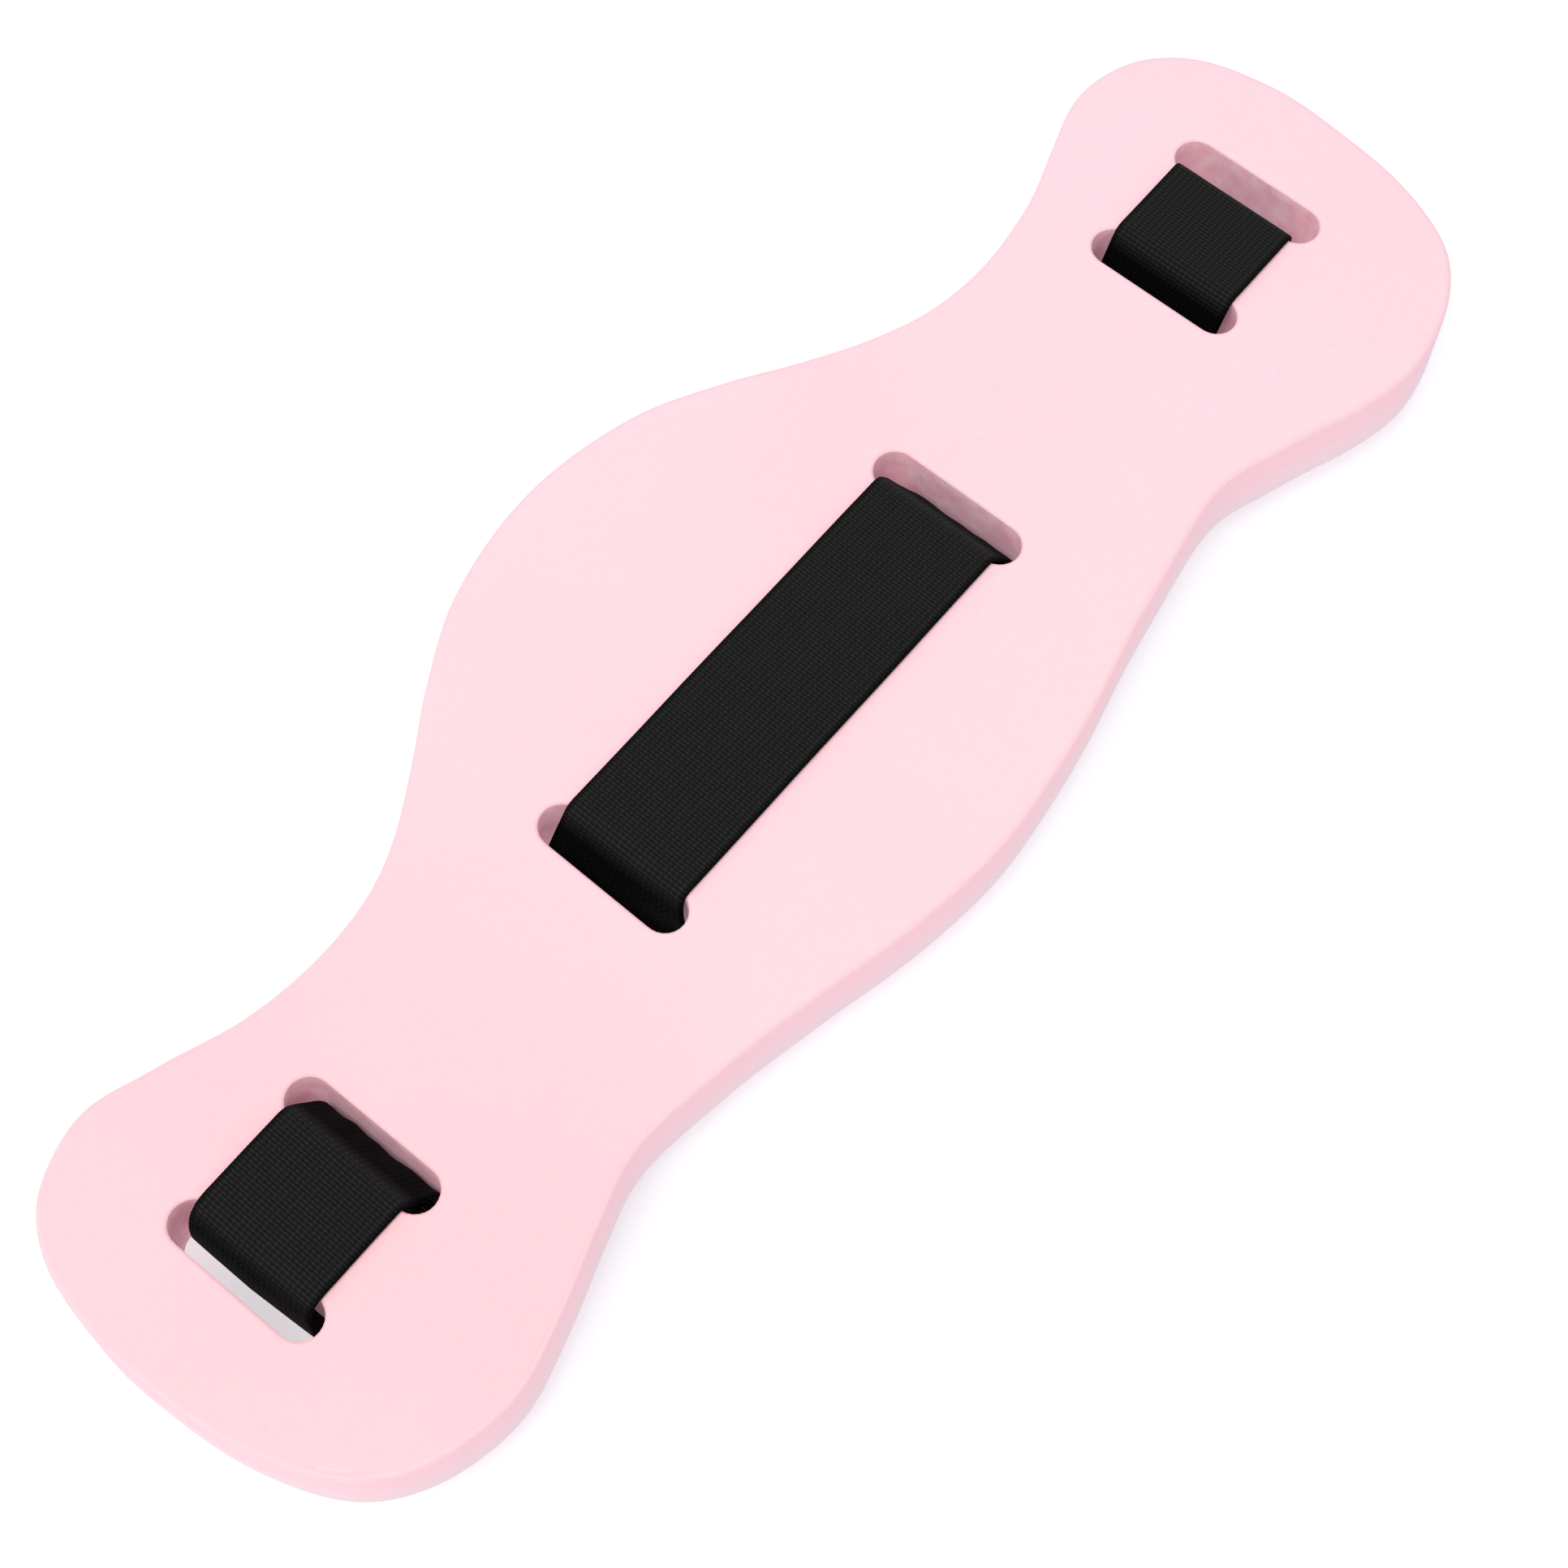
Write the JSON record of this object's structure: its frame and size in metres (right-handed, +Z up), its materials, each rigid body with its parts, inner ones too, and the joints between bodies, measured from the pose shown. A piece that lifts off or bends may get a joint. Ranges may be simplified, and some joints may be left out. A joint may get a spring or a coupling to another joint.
{
  "type": "waist float belt",
  "caption": "Pale pink foam waist float board with laced black webbing strap, side release buckle halves, adjusting ladder and strap keeper.",
  "frame": {"origin": "centre of the bounding box on its bottom face, which is the floor the two buckle halves rest on under the board", "axes": "+X along the board's length, towards the adjustable end of the strap; +Y towards the board's larger bulge; +Z up, out of the board's front face"},
  "size_m": [0.4802, 0.162, 0.0413],
  "materials": {
    "foam": "matte",
    "webbing": "matte",
    "thread": "satin",
    "buckle_plastic": "satin"
  },
  "bodies": {
    "root": {"foam_board": "foam", "strap_threaded": "webbing", "strap_bend_right": "webbing", "strap_bend_left": "webbing"},
    "left_end": {"strap_end_left": "webbing", "loop_stitching": "thread"},
    "socket": {"buckle_socket": "buckle_plastic"},
    "right_end": {"strap_run_right": "webbing"},
    "plug": {"buckle_plug": "buckle_plastic", "strap_ladder_wrap": "webbing", "strap_loose_end": "webbing"},
    "loose_tip": {"strap_hem": "webbing", "hem_stitching": "thread"},
    "prong_a": {"prong_left": "buckle_plastic"},
    "prong_b": {"prong_right": "buckle_plastic"},
    "keeper": {"strap_keeper": "buckle_plastic"}
  },
  "joints": [
    {"name": "left_end_fold", "type": "hinge", "parent": "root", "child": "left_end", "pos_m": [-0.19955, -0.01, 0.0093], "axis": [0, 1, 0], "range_deg": [0, 179], "deforming": ["strap_bend_left"]},
    {"name": "socket_swing", "type": "hinge", "parent": "left_end", "child": "socket", "pos_m": [-0.146, -0.01, 0.006], "axis": [0, 1, 0], "range_deg": [0, 60]},
    {"name": "right_end_fold", "type": "hinge", "parent": "root", "child": "right_end", "pos_m": [0.19955, -0.01, 0.0093], "axis": [0, -1, 0], "range_deg": [0, 179], "deforming": ["strap_bend_right"]},
    {"name": "plug_adjust", "type": "slide", "parent": "right_end", "child": "plug", "axis": [-1, 0, 0], "range_m": [0, 0.05], "deforming": ["strap_run_right"]},
    {"name": "loose_tip_follow", "type": "slide", "parent": "plug", "child": "loose_tip", "axis": [-1, 0, 0], "range_m": [0, 0.05], "deforming": ["strap_loose_end"]},
    {"name": "prong_left_squeeze", "type": "hinge", "parent": "plug", "child": "prong_a", "pos_m": [0.0214, 0.005, 0.006], "axis": [0, 0, 1], "range_deg": [0, 9], "stiffness_Nm_per_rad": 0.15},
    {"name": "prong_right_squeeze", "type": "hinge", "parent": "plug", "child": "prong_b", "pos_m": [0.0214, -0.025, 0.006], "axis": [0, 0, -1], "range_deg": [0, 9], "stiffness_Nm_per_rad": 0.15},
    {"name": "keeper_slide", "type": "slide", "parent": "plug", "child": "keeper", "axis": [1, 0, 0], "range_m": [0, 0.03]}
  ],
  "couplings": [
    {"joint": "loose_tip_follow", "follows": "plug_adjust", "ratio": 1}
  ]
}
